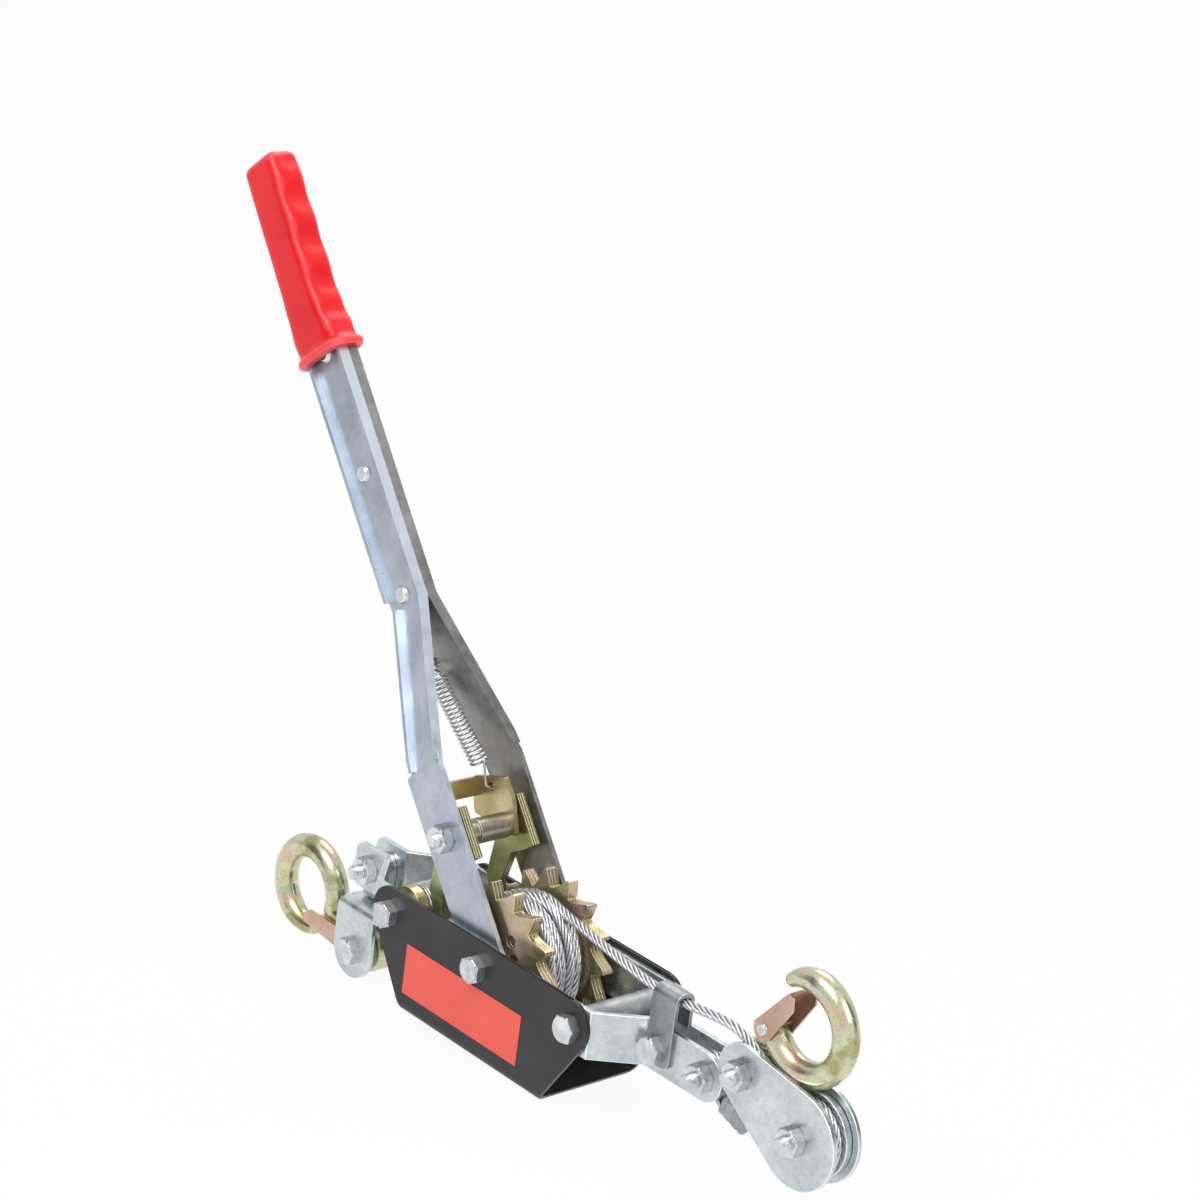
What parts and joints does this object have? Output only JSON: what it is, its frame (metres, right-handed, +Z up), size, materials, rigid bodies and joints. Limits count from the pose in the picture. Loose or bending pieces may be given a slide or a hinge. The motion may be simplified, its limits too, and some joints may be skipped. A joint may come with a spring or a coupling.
{
  "type": "come along winch",
  "caption": "Hand lever cable puller: a ratchet drum winds steel cable that runs over a hooked pulley block, with a swivel anchor hook.",
  "frame": {"origin": "centre of the casing's flat underside, straight below the drum axle", "axes": "+X towards the pulley hook, +Y across the winch away from the label side, +Z up from the floor it lies on; the frame leans 4.37 degrees about Y, pulley end down"},
  "size_m": [0.4757, 0.0767, 0.4153],
  "materials": {
    "black_paint": "satin black paint over pressed steel",
    "red_label": "plain red film panel, no print",
    "galvanised": "bright zinc plated strip",
    "handle_zinc": "blue-grey zinc plated pressed steel",
    "zinc_fastener": "zinc plated fasteners",
    "yellow_zinc": "yellow chromate zinc plate",
    "steel_cable": "bright stranded steel cable",
    "spring_steel": "bright spring wire",
    "red_grip": "bright red moulded plastic",
    "copper_latch": "pinkish yellow chromate sheet steel"
  },
  "bodies": {
    "frame": {"casing": "black_paint", "label_panel": "red_label", "strap_front": "galvanised", "strap_rear": "galvanised", "frame_spacers": "zinc_fastener", "frame_bolts": "zinc_fastener", "frame_nuts": "zinc_fastener", "axle_bolt": "zinc_fastener", "axle_sleeve": "zinc_fastener", "cable_guide": "galvanised", "guide_bolt": "zinc_fastener", "guide_nut": "zinc_fastener", "anchor_bolt": "zinc_fastener", "anchor_nut": "zinc_fastener", "thimble": "galvanised", "cable_loop": "steel_cable", "ferrule": "galvanised", "cable_run": "steel_cable", "holding_pawl_spring": "spring_steel", "link_bolt": "zinc_fastener", "link_nut": "zinc_fastener"},
    "drum": {"drum_hub": "yellow_zinc", "ratchet_front": "yellow_zinc", "ratchet_rear": "yellow_zinc", "cable_core": "steel_cable", "cable_winding": "steel_cable"},
    "holding_pawl": {"holding_pawl": "yellow_zinc"},
    "handle": {"handle_arm_front": "handle_zinc", "handle_arm_rear": "handle_zinc", "handle_rivets": "zinc_fastener", "grip": "red_grip", "pawl_bolt": "zinc_fastener", "pawl_nut": "zinc_fastener", "pawl_spring": "spring_steel"},
    "drive_pawl": {"pawl_tube": "yellow_zinc", "drive_pawl_front": "yellow_zinc", "drive_pawl_rear": "yellow_zinc", "pawl_bracket": "yellow_zinc"},
    "link": {"upper_yoke": "galvanised"},
    "swivel": {"lower_yoke": "galvanised", "swivel_rivet": "galvanised", "hook_pin": "zinc_fastener", "hook_pin_nut": "zinc_fastener"},
    "anchor_hook": {"anchor_hook": "yellow_zinc", "anchor_latch_pin": "zinc_fastener"},
    "anchor_latch": {"anchor_latch": "copper_latch"},
    "block": {"block_cheek_front": "galvanised", "block_cheek_rear": "galvanised", "block_bolts": "zinc_fastener", "block_nuts": "zinc_fastener", "hook_spacer": "zinc_fastener"},
    "sheave": {"sheave": "galvanised"},
    "pulley_hook": {"pulley_hook": "yellow_zinc", "pulley_latch_pin": "zinc_fastener"},
    "pulley_latch": {"pulley_latch": "copper_latch"}
  },
  "joints": [
    {"name": "handle_swing", "type": "hinge", "parent": "frame", "child": "handle", "pos_m": [0.00358, 0, 0.04686], "axis": [0, 1, 0], "range_deg": [-20, 85]},
    {"name": "drum_spin", "type": "hinge", "parent": "frame", "child": "drum", "pos_m": [0.00358, 0, 0.04686], "axis": [0, 1, 0], "continuous": true},
    {"name": "holding_pawl_lift", "type": "hinge", "parent": "frame", "child": "holding_pawl", "pos_m": [-0.06621, 0, 0.0522], "axis": [0, 1, 0], "range_deg": [0, 8], "stiffness_Nm_per_rad": 0.3, "springref_deg": -17.19},
    {"name": "drive_pawl_lift", "type": "hinge", "parent": "handle", "child": "drive_pawl", "pos_m": [-0.03221, 0, 0.10234], "axis": [0, 1, 0], "range_deg": [0, 14], "stiffness_Nm_per_rad": 0.5, "springref_deg": -22.92, "deforming": ["pawl_spring"]},
    {"name": "link_swing", "type": "hinge", "parent": "frame", "child": "link", "pos_m": [-0.11308, 0, 0.05578], "axis": [0, 1, 0], "range_deg": [-12, 12]},
    {"name": "swivel_turn", "type": "hinge", "parent": "link", "child": "swivel", "pos_m": [-0.1146, 0, 0.03584], "axis": [0.0762, 0, 0.9971], "range_deg": [-60, 60]},
    {"name": "anchor_hook_swing", "type": "hinge", "parent": "swivel", "child": "anchor_hook", "pos_m": [-0.11651, 0, 0.01091], "axis": [0, 1, 0], "range_deg": [-45, 20]},
    {"name": "anchor_latch_open", "type": "hinge", "parent": "anchor_hook", "child": "anchor_latch", "pos_m": [-0.13448, 0, 0.00957], "axis": [0, 1, 0], "range_deg": [0, 20], "stiffness_Nm_per_rad": 0.02, "springref_deg": -28.65},
    {"name": "block_swing", "type": "hinge", "parent": "frame", "child": "block", "pos_m": [0.20384, 0, 0.02955], "axis": [0, 1, 0], "range_deg": [0, 4]},
    {"name": "sheave_spin", "type": "hinge", "parent": "block", "child": "sheave", "pos_m": [0.20384, 0, 0.02955], "axis": [0, 1, 0], "continuous": true},
    {"name": "pulley_hook_swing", "type": "hinge", "parent": "block", "child": "pulley_hook", "pos_m": [0.1661, 0, 0.04748], "axis": [0, 1, 0], "range_deg": [-10, 0]},
    {"name": "pulley_latch_open", "type": "hinge", "parent": "pulley_hook", "child": "pulley_latch", "pos_m": [0.17607, 0, 0.07305], "axis": [0, 1, 0], "range_deg": [0, 30], "stiffness_Nm_per_rad": 0.02, "springref_deg": -28.65}
  ]
}
